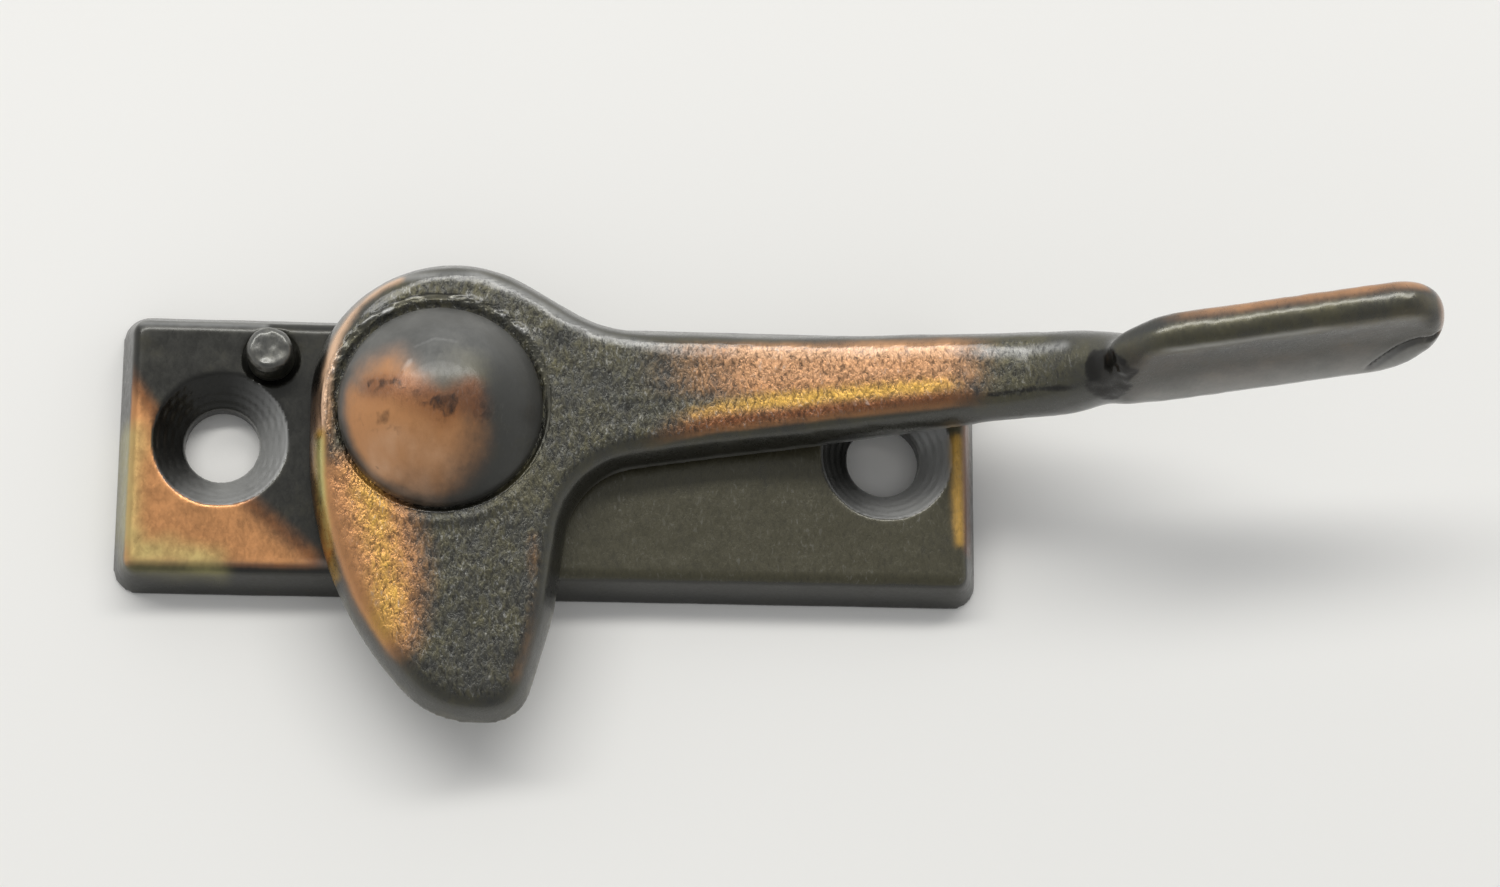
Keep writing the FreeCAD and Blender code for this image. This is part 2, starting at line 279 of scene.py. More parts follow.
class Graph:
    """Short calls for building one material's nodes."""

    def __init__(self, name):
        self.material = bpy.data.materials.new(name)
        self.material.use_nodes = True
        self.tree = self.material.node_tree
        self.tree.nodes.clear()
        self.output = self.tree.nodes.new("ShaderNodeOutputMaterial")
        self.shader = self.tree.nodes.new("ShaderNodeBsdfPrincipled")
        self.tree.links.new(self.shader.outputs["BSDF"], self.output.inputs["Surface"])

    def put(self, value, socket):
        if isinstance(value, bpy.types.NodeSocket):
            self.tree.links.new(value, socket)
        else:
            socket.default_value = value

    def math(self, operation, *values):
        node = self.tree.nodes.new("ShaderNodeMath")
        node.operation = operation
        for value, socket in zip(values, node.inputs):
            self.put(value, socket)
        return node.outputs[0]

    def add(self, *values):
        total = values[0]
        for value in values[1:]:
            total = self.math("ADD", total, value)
        return total

    def times(self, *values):
        total = values[0]
        for value in values[1:]:
            total = self.math("MULTIPLY", total, value)
        return total

    def step(self, value, low, high, start=0.0, end=1.0):
        node = self.tree.nodes.new("ShaderNodeMapRange")
        node.interpolation_type = "SMOOTHSTEP"
        names = ("Value", "From Min", "From Max", "To Min", "To Max")
        for given, name in zip((value, low, high, start, end), names):
            self.put(given, node.inputs[name])
        return node.outputs[0]

    def place(self, stretch=(1, 1, 1)):
        """Position on the object in millimetres."""
        where = self.tree.nodes.new("ShaderNodeTexCoord")
        mapping = self.tree.nodes.new("ShaderNodeMapping")
        mapping.inputs["Scale"].default_value = [s / MM for s in stretch]
        self.tree.links.new(where.outputs["Object"], mapping.inputs["Vector"])
        return mapping.outputs[0]

    def noise(self, place, size, detail=2.0, roughness=0.5, warp=0.0):
        node = self.tree.nodes.new("ShaderNodeTexNoise")
        self.put(place, node.inputs["Vector"])
        node.inputs["Scale"].default_value = 1 / size
        node.inputs["Detail"].default_value = detail
        node.inputs["Roughness"].default_value = roughness
        node.inputs["Distortion"].default_value = warp
        return node.outputs["Fac"]

    def clamp(self, value, low=0.0, high=1.0):
        node = self.tree.nodes.new("ShaderNodeClamp")
        for given, name in ((value, "Value"), (low, "Min"), (high, "Max")):
            self.put(given, node.inputs[name])
        return node.outputs[0]

    def mask(self, name):
        node = self.tree.nodes.new("ShaderNodeAttribute")
        node.attribute_name = name
        return node.outputs["Fac"]

    def mix(self, share, first, second):
        node = self.tree.nodes.new("ShaderNodeMix")
        node.data_type = "RGBA"
        factor, first_colour, second_colour = node.inputs[0], node.inputs[6], node.inputs[7]
        for value, socket in ((share, factor), (first, first_colour), (second, second_colour)):
            self.put(value, socket)
        return node.outputs[2]

    def height(self, value, distance):
        """Bump of that height in millimetres."""
        node = self.tree.nodes.new("ShaderNodeBump")
        node.inputs["Strength"].default_value = 1.0
        node.inputs["Distance"].default_value = distance * MM
        self.put(value, node.inputs["Height"])
        return node.outputs["Normal"]


def tone(code):
    """An sRGB hex colour as the linear colour a socket takes."""
    values = [int(code[i : i + 2], 16) / 255 for i in (0, 2, 4)]
    return [v / 12.92 if v <= 0.04045 else ((v + 0.055) / 1.055) ** 2.4 for v in values] + [1.0]


IRON = tone("42423E")
OLIVE = tone("57533B")
BARE_AND_HIGHLIGHT = tone("A2A29F")
COPPER = tone("BE8757")
ROSE = tone("DDB592")
GOLD = tone("CFA24A")
EMBER = tone("7A4826")
BLOOM = tone("C2BA78")
STAIN_AND_SHADE = tone("141210")

# Name, how ragged its border is, and colour, from the bottom layer up
FLASH = (
    # The light grey layer holds bare iron, and also painted highlights and a painted reflection.
    ("bare", 0.5, BARE_AND_HIGHLIGHT),
    ("copper", 0.8, COPPER),
    ("rose", 0.6, ROSE),
    ("gold", 0.9, GOLD),
    ("ember", 0.6, EMBER),
    ("bloom", 0.5, BLOOM),
)


def flashed_iron(name, bump, roughness, dark=0.0, coat=0.55, metal=0.95):
    """Cast iron with an oxidised copper flash; the masks say where each colour lies, and some of them hold
    painted highlights, a painted reflection and painted shade.

    bump is the grain's height in millimetres, dark how much the bare iron is blackened, and
    metal how metallic it is where nothing dulls it.
    """
    g = Graph(name)
    place = g.place()
    lumps = g.math("SUBTRACT", g.noise(place, 2.4, 3, 0.6), 0.5)
    fine = g.noise(g.place((1.0, 0.55, 1.0)), 0.3, 4, 0.65, 0.4)
    speck = g.noise(g.place((1.1, 0.5, 1.0)), 0.24, 3, 0.6, 0.6)
    grain = g.mask("grain")
    raised = g.math("SUBTRACT", fine, 0.5)
    ragged = g.add(g.times(lumps, 1.1), g.times(raised, g.add(g.times(grain, 1.4), 0.3)))

    colour = g.mix(g.step(g.add(g.mask("olive"), ragged), 0.0, 1.0), IRON, OLIVE)
    colour = g.mix(dark, colour, STAIN_AND_SHADE)
    for mask, unevenness, shade in FLASH:
        amount = g.mask(mask)
        edge = g.times(amount, g.math("SUBTRACT", 1.1, amount), 3.0)
        share = g.math("POWER", g.clamp(g.add(amount, g.times(ragged, edge, unevenness))), 1.4)
        colour = g.mix(share, colour, shade)
    colour = g.mix(g.times(g.step(speck, 0.5, 0.34), grain, 0.6), colour, STAIN_AND_SHADE)
    # Light grey specks on the grain: painted glints, where the grain's bumps would catch the light.
    painted_glints = g.times(g.step(speck, 0.56, 0.68), g.step(lumps, -0.15, 0.15), grain, 0.42)
    colour = g.mix(painted_glints, colour, BARE_AND_HIGHLIGHT)
    # Near-black blotches: real stains, and painted shade in the countersinks.
    blotch_and_shade = g.add(g.mask("stain"), g.times(ragged, g.step(g.mask("stain"), 0.0, 0.25), 1.3))
    colour = g.mix(g.times(g.step(blotch_and_shade, 0.25, 1.0), 0.9), colour, STAIN_AND_SHADE)
    g.put(colour, g.shader.inputs["Base Color"])

    dull = g.step(g.add(fine, g.times(lumps, 0.5)), 0.25, 0.8, roughness - 0.06, roughness + 0.1)
    g.put(g.add(dull, g.times(g.mask("bare"), 0.08)), g.shader.inputs["Roughness"])
    oxide = g.math("MAXIMUM", g.times(g.mask("olive"), 0.8), g.times(g.mask("bare"), 0.6))
    oxide = g.math("MAXIMUM", oxide, g.times(g.mask("rose"), 0.8))
    g.put(g.math("SUBTRACT", metal, g.times(oxide, metal - 0.2)), g.shader.inputs["Metallic"])
    g.shader.inputs["Coat Weight"].default_value = coat
    g.shader.inputs["Coat Roughness"].default_value = 0.16
    bumps = g.add(fine, g.times(speck, 0.45))
    g.put(g.height(g.times(bumps, g.add(grain, 0.08)), bump), g.shader.inputs["Normal"])
    return g.material


def brass(name):
    g = Graph(name)
    tarnish = g.noise(g.place(), 1.4, 4, 0.6)
    g.put(g.mix(g.step(tarnish, 0.35, 0.7), tone("B08B4A"), tone("5A4526")), g.shader.inputs["Base Color"])
    g.put(g.step(tarnish, 0.2, 0.8, 0.35, 0.6), g.shader.inputs["Roughness"])
    g.shader.inputs["Metallic"].default_value = 1.0
    g.put(g.height(g.noise(g.place(), 0.3, 3), 0.02), g.shader.inputs["Normal"])
    return g.material


MASKS = ("grain", "olive", "bare", "copper", "rose", "gold", "ember", "bloom", "stain")


def paint_all(mesh, **given):
    for name in MASKS:
        paint(mesh, name, given.get(name, np.zeros(len(mesh.vertices))))


def finish_piece(piece, body, node, material):
    smooth_shading(piece.data)
    piece.data.materials.append(material)
    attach(piece, body)
    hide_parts(node)


# ---------------------------------------------------------------- the lever


CREASE = [(16.3, -2.5), (17.3, -1.6), (18.1, -0.95), (19.2, -0.35), (20.4, 0.2)]
PIT = np.array([40.1, 1.5, 13.4])


def pit_reach(points):
    """Distance from the pit's middle as a share of its ragged edge, in plan along the blade's foot."""
    gap = np.linalg.norm((points - PIT) / [1.5, 1.5, 2.6], axis=1)
    return gap + 0.4 * rough(points, 1.1, 41, 3)


def close_seat(mesh):
    """Closes the metal round the rivet's seat up to the dome, and leaves a groove inside the lip."""
    points = from_pivot(mesh)
    x, y, z = points.T
    up = normals(mesh)[:, 2]
    radius = np.hypot(x, y)
    ring = ramp(radius, DOME_R + SEAT_GAP, DOME_R + SEAT_GAP + 0.12)
    ring = ring * ramp(radius, 7.4, 7.2) * ramp(up, 0.2, 0.5)
    ring *= (z > LEVER_FACE - 0.45) * (z < LEVER_FACE)
    groove = lip_side(x, y) * ramp(radius, 6.75, 6.6)
    place = coordinates(mesh)
    place[:, 2] += (LEVER_FACE - SEAT_DROP - z) * ring * (1 - 0.8 * groove) * MM
    mesh.vertices.foreach_set("co", place.ravel())
    mesh.update()


def lip_side(x, y):
    """1 on the hub's side away from the tongue, where the seat has a torn lip and a groove."""
    angle = np.degrees(np.arctan2(y, x))
    return ramp(np.abs(angle - 115), 95, 60)


def torn_lip(points, up):
    """Where the torn lip stands up round the seat."""
    x, y, z = points.T
    lip_r = LIP_R + 0.1 * rough(points * [0.6, 0.6, 0], 1.0, 5)
    lip = np.exp(-(((np.hypot(x, y) - lip_r) / 0.2) ** 2))
    lip = lip * ramp(up, 0.3, 0.6) * (z > LEVER_FACE - 0.5)
    torn = ramp(rough(points, 0.7, 31, 2), -0.35, 0.35)
    return lip * lip_side(x, y) * torn


def flat_face(points, up):
    """1 where the lever's face is flat, as far as the slope of its arm's end."""
    sloping = ramp(points[:, 0], 32, 36)
    flat = ramp(up, 0.9 - 0.2 * sloping, 0.975 - 0.13 * sloping)
    return flat * ramp(points[:, 0], 39.5, 37)


def make_lever():
    piece = even_copy("lever", "lever_casting", LEVER_CELL)
    mesh = piece.data
    relax(mesh, 3)

    # The arm flows into the blade, and neither the blade nor the shoulders have sharp borders
    points = from_pivot(mesh)
    weld_root(mesh)
    root = np.exp(-((np.linalg.norm(points - [40.2, 2.2, 12.8], axis=1) / 4.0) ** 4))
    relax(mesh, 50, root)
    blade = ramp(blade_frame(points)[:, 0], 0.5, 3.0) * ramp(points[:, 2], 9.0, 10.0)
    beyond_hub = ramp(np.hypot(points[:, 0], points[:, 1]), 7.2, 7.8)
    shoulders = ramp(normals(mesh)[:, 2], 0.02, 0.2) * beyond_hub
    relax(mesh, 26, np.maximum(blade, shoulders))

    points = from_pivot(mesh)
    up = normals(mesh)[:, 2]
    radius = np.hypot(points[:, 0], points[:, 1])
    outside = ramp(radius, 3.2, 3.6) * ramp(up, -0.6, -0.2)
    depth = cast_skin(points, 1.0) * outside * ramp(radius, 6.9, 7.5)
    depth -= LIP_HEIGHT * torn_lip(points, up)
    close_seat(mesh)

    flat = flat_face(points, up)
    hammered = 0.5 + 0.5 * rough(points * [1.0, 0.6, 1.0], 0.85, 101, 2)
    depth += HAMMER_DEPTH * hammered * flat * ramp(radius, 7.2, 7.6)

    # A flash line near the blade's tip, and a pit where the blade meets the arm
    along, across, height = blade_frame(points).T
    flank = ramp(across, 0.3, -0.4) * ramp(along, 14.5, 16.0)
    line = near_path(along, height, CREASE)
    depth += FLASH_LINE_DEPTH * ramp(line, 0.32, 0.05) * flank
    depth += PIT_DEPTH * ramp(pit_reach(points), 1.05, 0.45)
    sink(mesh, depth)

    paint_lever(mesh, flat)
    iron = flashed_iron("lever_flashed_iron", 0.09, 0.3)
    finish_piece(piece, "lever", "lever", iron)


def stripe(distance, half, soft):
    """A streak of that half width about a path, with soft sides."""
    return ramp(distance, half + soft, max(half - soft, 0))


# Lines that the colours follow on the lever, in plan
HUB_RIM = [(-7.3, -1.5), (-7.0, 2.0), (-6.4, 4.6), (-5.2, 6.6), (-3.8, 7.8), (-2.8, 8.3)]
# The hub's top edge and the arm's end edge carry a painted highlight, partly rubbed wear.
HUB_TOP_HIGHLIGHT = [(-2.4, 8.3), (2, 8.5), (5, 7.3), (8, 5.5), (10, 4.7), (14, 4), (18, 3.85)]
TONGUE_BAND = [(-4.5, -4.4), (-3.4, -8.5), (-2.8, -11.5), (-3.0, -13.6)]
TONGUE_RIM = [(-7.35, -1.8), (-7.3, -4), (-7.1, -6), (-6.7, -8.4), (-6.2, -10.4)]
TONGUE_BLOOM = [(-7.3, -2.2), (-7.2, -4), (-7.05, -6), (-6.6, -8.6)]
TONGUE_RIGHT_EDGE = [(5.8, -8), (5.9, -12), (5.5, -15), (4.9, -16.6)]
TONGUE_CHIPS = [(-5.7, -12.6), (-5.0, -13.9), (-4.5, -14.6)]
ARM_EMBER = [(10.5, -2.5), (14, -1.2), (17, -0.5), (20, -0.15), (24, 0.3), (28, 0.55), (31.5, 0.75)]
ARM_GOLD = [(14, -0.4), (17, 0.35), (20, 0.8), (24, 1.15), (28, 1.4), (31.4, 1.45)]
# A painted highlight runs along the arm's top edge.
ARM_HIGHLIGHT = [(18, 3.9), (24, 3.8), (31, 3.6)]
ARM_END_HIGHLIGHT = [(31.0, 3.5), (34.0, 3.35), (37.6, 3.4)]
ARM_SEAM = [(33.4, 0.75), (36.0, 0.95), (38.4, 0.75)]


def layered(*layers):
    """The masks of several sets, taking the strongest where they overlap."""
    names = {name for layer in layers for name in layer}
    found = {name: [layer[name] for layer in layers if name in layer] for name in names}
    return {name: np.maximum.reduce(values) for name, values in found.items()}


def hub_colours(points, up, patchy):
    """Copper, gold and olive on the hub and the tongue."""
    x, y = points[:, :2].T
    face = ramp(up, 0.3, 0.75)
    tongue_edge = -0.9 - 0.04 * (y + 11) ** 2
    tongue = ramp(x - tongue_edge, 1.6, -1.6) * ramp(y, -2.0, -4.5) * ramp(y, -17.0, -14.4) * face
    wall = 0.5 * ramp(x, -6.0, -7.0) * ramp(y, -10.0, -7.0) * ramp(y, 3.0, -1.0) * ramp(up, 0.1, 0.3)
    edge = 0.4 * patchy * stripe(near_path(x, y, TONGUE_RIGHT_EDGE), 0.15, 0.5)
    band = 0.72 * stripe(near_path(x, y, TONGUE_BAND), 0.6, 1.4) * face
    return {
        "copper": np.maximum.reduce([tongue, wall, edge]),
        "rose": stripe(near_path(x, y, HUB_RIM), 0.28, 0.4) * ramp(up, 0.2, 0.6),
        "gold": np.maximum(band, stripe(near_path(x, y, TONGUE_RIM), 0.3, 0.4)),
        "bloom": stripe(near_path(x, y, TONGUE_BLOOM), 0.2, 0.28),
        "olive": 0.35 + 0.45 * stripe(np.hypot(x - 5.4, y + 4.6), 1.2, 1.8),
    }


def arm_colours(points, up, patchy):
    """Copper along the arm, with a gold band and an ember edge below it, and a light rose band painted
    along its highlight.
    """
    x, y = points[:, :2].T
    face = ramp(up, 0.3, 0.75)
    along_arm = ramp(x, 11.0, 20.5) * ramp(x, 34.8, 30.0)
    upper = 0.86 * along_arm * ramp(y, 0.2, 2.0) * ramp(y, 5.0, 3.9)
    above_ember = y - np.interp(x, *np.array(ARM_EMBER).T)
    low_edge = ramp(above_ember, -0.8, -0.5) * ramp(above_ember, 1.6, 0.3)
    lower = 0.7 * ramp(x, 12, 18) * ramp(x, 34, 30) * low_edge
    ember = 0.9 * stripe(np.abs(above_ember), 0.2, 0.6) * ramp(x, 11, 18) * ramp(x, 34.5, 30)
    band = 0.95 * stripe(near_path(x, y, ARM_GOLD), 0.3, 0.7)
    # A light rose band along the arm's top edge: painted highlight.
    arm_highlight = 0.62 * stripe(near_path(x, y, ARM_HIGHLIGHT), 0.25, 0.7) * along_arm
    pink = 0.4 * along_arm * ramp(y, 1.4, 2.4) * ramp(y, 5.0, 4.0) * (0.4 + 0.6 * patchy)
    return {
        "copper": np.maximum(upper, lower) * ramp(up, 0.1, 0.5),
        "ember": ember * ramp(up, 0.0, 0.4),
        "gold": band * ramp(x, 12.5, 21) * ramp(x, 33.5, 29) * face,
        "rose": np.maximum(arm_highlight, pink),
        "olive": 0.6 * ramp(x, 30, 34) * ramp(x, 38.5, 36),
    }


def blade_colours(points, patchy, on_blade, flank):
    """Copper along the blade's top edge with a painted highlight beside it, and the flank painted lighter
    grey towards its foot: a painted reflection of the floor, with a little patchy wear.
    """
    along, across, height = blade_frame(points).T
    top_edge = on_blade * ramp(across, -0.1, 0.8) * ramp(height, 2.5, 3.3) * ramp(along, 3.0, 7.5)
    brown = 0.12 * flank * stripe(height - 2.2 - 0.05 * along, 0.2, 0.7) * patchy
    tip = 0.7 * on_blade * ramp(along, 20.2, 20.8) * ramp(height, -1.0, 0.5)
    # Painted reflection: the flank lighter grey towards its foot, where it would mirror the floor, with a
    # little patchy wear.
    wear_and_reflection = flank * (0.8 * ramp(height, 0.3, -3.2) + 0.08 * patchy)
    # Painted highlight along the blade's top edge.
    blade_highlight = 0.6 * on_blade * flank * stripe(np.abs(height - 2.9), 0.15, 0.35)
    return {
        "copper": np.maximum.reduce([0.8 * top_edge, brown, tip]),
        "rose": 0.35 * top_edge * patchy,
        "bare": np.maximum(wear_and_reflection, blade_highlight * ramp(along, 3.0, 5.0) * ramp(along, 16, 12)),
    }


def rubbed_iron_and_highlights(points, up, patchy, on_blade):
    """Bare iron on the torn lip and on the arm's walls, and light bands along the top edges of hub and arm
    that are painted highlights, partly rubbed wear.
    """
    x, y, z = points.T
    lip = ramp(np.abs(np.hypot(x, y) - LIP_R), 0.4, 0.2) * ramp(z, LEVER_FACE + 0.01, LEVER_FACE + 0.07)
    edges = np.minimum(near_path(x, y, HUB_TOP_HIGHLIGHT), near_path(x, y, ARM_END_HIGHLIGHT))
    # Light grey along these top edges: painted highlight, partly rubbed wear.
    rubbed_and_highlight = 0.9 * stripe(edges, 0.22, 0.38) * (0.6 + 0.4 * patchy) * ramp(up, 0.3, 0.6)
    walls = 0.6 * ramp(up, 0.3, 0.1) * (1 - on_blade) * ramp(x, 8.0, 11.0)
    return {"bare": np.maximum.reduce([0.85 * lip, rubbed_and_highlight, walls])}


def lever_stains(points, face, flank):
    """Near-black in the pit and in the scratches, and painted shade along the crease near the blade's tip.
    """
    x, y = points[:, :2].T
    along, _, height = blade_frame(points).T
    pit = ramp(pit_reach(points), 1.15, 0.9)
    # Painted shade: near-black along the crease near the blade's tip.
    line = stripe(near_path(along, height, CREASE), 0.08, 0.14) * flank * ramp(along, 15.5, 16.5)
    chips = 0.8 * stripe(near_path(x, y, TONGUE_CHIPS), 0.08, 0.22) * face
    seam = 0.9 * stripe(near_path(x, y, ARM_SEAM), 0.08, 0.22) * face
    return np.maximum.reduce([pit, line, chips, seam])


def paint_lever(mesh, flat):
    """Masks for the lever; flat is 1 where its face is flat and so grained."""
    points = from_pivot(mesh)
    x, y, z = points.T
    up = normals(mesh)[:, 2]
    face = ramp(up, 0.3, 0.75)
    along, across, height = blade_frame(points).T
    on_blade = ramp(along, 0.6, 2.6) * ramp(z, 8.5, 9.5)
    flank = on_blade * ramp(across, 0.4, -0.4)
    patchy = 0.5 + 0.5 * rough(points, 2.2, 61, 2)
    masks = layered(
        hub_colours(points, up, patchy),
        arm_colours(points, up, patchy),
        blade_colours(points, patchy, on_blade, flank),
        rubbed_iron_and_highlights(points, up, patchy, on_blade),
    )
    tongue_wall = 0.6 * ramp(up, 0.5, 0.1) * ramp(y, -9.0, -12.0)
    olive = masks["olive"] * face * (1 - on_blade) + 0.5 * flank * ramp(height, 1.5, 3.0)
    masks["olive"] = np.maximum(olive, tongue_wall)
    masks["stain"] = lever_stains(points, face, flank)
    smooth_side = ramp(x + 0.35 * y, -6.8, -9.0) * ramp(y, -1, -4)
    masks["grain"] = np.clip(flat * (1 - on_blade) * (1 - 0.75 * smooth_side), 0.08, 1)
    paint_all(mesh, **masks)


# ---------------------------------------------------------------- the plate


def turn_countersinks(mesh):
    """Cuts the turned rings. Gives where the cones are, and how far each point lies to the side
    that is painted bright, as the daylight catches it: this is colour, and stays with the plate.
    """
    pattern = next(m for m in frame["record"]["mounts"] if m["name"] == "screw_holes")
    spacing = pattern["dims"]["spacing_x_mm"]
    middle = (Vector(pattern["pos_m"]) - PIVOT) / MM
    points = from_pivot(mesh)
    up = normals(mesh)[:, 2]
    cone = np.zeros(len(points))
    cone_side = np.zeros(len(points))
    for side in (-0.5, 0.5):
        from_hole = points[:, :2] - [middle.x + side * spacing, middle.y]
        gap = np.linalg.norm(from_hole, axis=1)
        near = gap < COUNTERSINK_R + 0.8
        cone_side[near] = (from_hole @ BRIGHT_SIDE)[near] / gap[near]
        mouth = ramp(gap, COUNTERSINK_R + 0.15, COUNTERSINK_R)
        cone = np.maximum(cone, mouth * ramp(up, 0.05, 0.3) * ramp(up, 0.95, 0.85))
        turned = 0.5 + 0.5 * np.sin(gap * 2 * math.pi / RING_PITCH)
        sink(mesh, RING_DEPTH * turned * cone)
    sink(mesh, cast_skin(points, 0.6) * ramp(up, -0.5, 0.0) * (1 - cone))
    return cone, ramp(cone_side, -0.9, 0.9)


def paint_plate(mesh, cone, lit):
    """Copper in the left corner, a gold and ember strip at the right end, painted highlights along the top
    and lower edges, and painted light and shade in the countersinks.
    """
    points = from_pivot(mesh)
    x, y = points[:, :2].T
    up = normals(mesh)[:, 2]
    face = ramp(up, 0.5, 0.8)
    bevel = ramp(up, 0.3, 0.6)
    left = (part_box("base_plate")[0].x - PIVOT.x) / MM
    right = (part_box("base_plate")[1].x - PIVOT.x) / MM

    # The copper fades on two slants, with a green bloom along the plate's edges
    beside = ramp(above_line(x, y, (left, 3.4), (left + 3.4, -1.7)), 1.0, -0.7)
    below = ramp(above_line(x, y, (left + 7.6, -4.8), (left + 12.6, -9.0)), 1.1, -1.1)
    corner = np.maximum(beside, below) * ramp(x, left + 15, left + 12) * bevel
    corner *= (1 - cone) * ramp(y, -9.7, -9.1)
    fringe = np.minimum(corner, 1 - corner) * 1.2
    bloom_path = [(left + 0.9, -1.5), (left + 1.05, -7.0), (left + 1.8, -8.6), (left + 6.5, -9.1)]
    from_bloom = near_path(x, y, bloom_path) + 0.3 * rough(points, 1.8, 17)
    gold_path = [(right - 1.6, -0.5), (right - 1.4, -7.0)]
    ember_path = [(right - 0.8, 0.5), (right - 0.8, -7.5)]
    ember = 0.9 * stripe(near_path(x, y, ember_path), 0.3, 0.4)

    # Painted highlights along the plate's lower and top edges.
    lower_edge_highlight = 0.5 * stripe(np.abs(y + 9.2), 0.1, 0.4) * bevel * ramp(x, 0, -6)
    top_highlight_path = [(left + 1.4, 5.85), (left + 9.0, 5.9)]
    top_edge = 0.65 * stripe(near_path(x, y, top_highlight_path), 0.1, 0.35) * bevel
    paint_all(
        mesh,
        grain=np.clip(0.35 * face * ramp(x, 0, 6) * (1 - cone), 0.04, 1),
        olive=face * (0.05 + 0.95 * ramp(x, 2, 9)) * (1 - cone),
        # In the countersinks, the light grey is a painted highlight on the side towards the light.
        bare=np.maximum.reduce([cone * lit, lower_edge_highlight, top_edge]),
        copper=corner,
        bloom=0.65 * stripe(from_bloom, 0.6, 1.2),
        gold=0.95 * stripe(near_path(x, y, gold_path), 0.25, 0.5),
        ember=np.maximum(ember, fringe),
        # In the countersinks, the near-black is painted shade on the side away from the light.
        stain=0.5 * cone * (1 - lit),
    )


def make_plate():
    piece = even_copy("base_plate", "plate_casting", PLATE_CELL)
    relax(piece.data, 2)
    cone, lit = turn_countersinks(piece.data)
    paint_plate(piece.data, cone, lit)
    iron = flashed_iron("plate_flashed_iron", 0.06, 0.33, dark=0.4, coat=0.4)
    finish_piece(piece, "base", "base_plate", iron)


# ---------------------------------------------------------------- rivet, pin and washer


# Lines and spots on the dome, in plan; each spot is its place and its size
DOME_BORDER = [(-4.4, 0.6), (-2.6, 0.5), (-1.5, -0.1), (0.3, -0.9), (2.0, 0.1), (2.7, -0.8)]
DOME_SPOTS = ((-3.6, 0.2, 0.45), (-3.5, -1.4, 0.6), (-3.0, -0.6, 0.35), (0.4, -0.9, 0.4))
DOME_SCRATCH = [(-2.6, 0.9), (-1.9, 2.0)]
DOME_FAINT_SCRATCH = [(-1.6, 3.0), (-0.4, 3.6), (0.9, 3.4)]


def spread_rim(mesh, points):
    """Spreads the dome's rim a little against the lever, where it was riveted."""
    x, y, z = points.T
    rim = ramp(np.hypot(x, y), DOME_R - 0.6, DOME_R - 0.1) * ramp(z, LEVER_FACE + 0.35, LEVER_FACE)
    place = coordinates(mesh)
    place[:, :2] += points[:, :2] * (RIM_SPREAD / DOME_R * rim)[:, None] * MM
    mesh.vertices.foreach_set("co", place.ravel())
    mesh.update()


def paint_rivet(mesh, points):
    """Copper low and to the left on the dome, behind a dark ragged border."""
    x, y, z = points.T
    wander = rough(points, 2.2, 81, 3)
    streaks = rough(points * [1.0, 0.4, 1.0], 0.8, 83, 2)
    low_reach = np.hypot(x + 2.2, y + 1.2) + 0.5 * wander
    low = ramp(y + 0.35 * x + 0.7 * wander, 0.4, -1.5) * ramp(low_reach, 6.4, 2.8)
    side_reach = np.hypot((x + 3.3) / 2.6, (y - 0.6) / 2.6) + 0.3 * wander
    side = 0.8 * ramp(side_reach, 1.3, 0.3)
    copper = np.maximum(low, side) * ramp(np.hypot(x, y), DOME_R + 0.02, DOME_R - 0.7)
    rose = ramp(y, -1.0, -3.2) * ramp(np.hypot(x + 1.6, y + 3.6), 4.6, 1.5) * (0.36 + 0.3 * streaks)

    flecks = ramp(rough(points, 0.7, 91, 3), -0.05, 0.25)
    border = near_path(x, y, DOME_BORDER) + 0.4 * wander
    stain = 0.66 * ramp(border, 1.0, 0.2) * flecks
    for spot_x, spot_y, size in DOME_SPOTS:
        spot = np.hypot(x - spot_x, (y - spot_y) * 0.8) + 0.5 * rough(points, 0.7, 93, 2)
        stain = np.maximum(stain, 0.48 * ramp(spot, size + 0.4, size - 0.4) * (0.5 + 0.5 * flecks))
    stain = np.maximum(stain, 0.3 * flecks * copper * ramp(streaks, -0.2, 0.4))
    ember = 0.75 * ramp(border, 1.9, 0.2) * ramp(y, 2.2, 0.8) * ramp(np.hypot(x + 1, y), 4.8, 3.0)

    faint = 0.5 * stripe(near_path(x, y, DOME_FAINT_SCRATCH), 0.04, 0.25)
    scratches = np.maximum(stripe(near_path(x, y, DOME_SCRATCH), 0.06, 0.3), faint)
    paint_all(
        mesh,
        grain=np.clip(0.25 * scratches + 0.3 * ramp(border, 1.6, 0.3), 0.06, 1),
        olive=0.4 * ramp(np.hypot(x - 1.2, y - 1.0), 3.2, 1.2),
        bare=np.maximum(0.34 * ramp(y - 0.5 * x, -1.5, 3.0), scratches),
        copper=copper,
        rose=rose,
        ember=ember,
        stain=stain,
    )


def make_rivet():
    piece = even_copy("pivot_rivet", "rivet_turned", RIVET_CELL)
    mesh = piece.data
    relax(mesh, 2)
    points = from_pivot(mesh)
    up = normals(mesh)[:, 2]
    sink(mesh, 0.03 * (0.5 + 0.5 * rough(points, 1.6, 51, 2)) * ramp(up, 0.1, 0.3))
    spread_rim(mesh, points)
    paint_rivet(mesh, points)
    iron = flashed_iron("rivet_flashed_iron", 0.05, 0.36, dark=0.1, coat=0.15, metal=0.5)
    finish_piece(piece, "base", "pivot_rivet", iron)


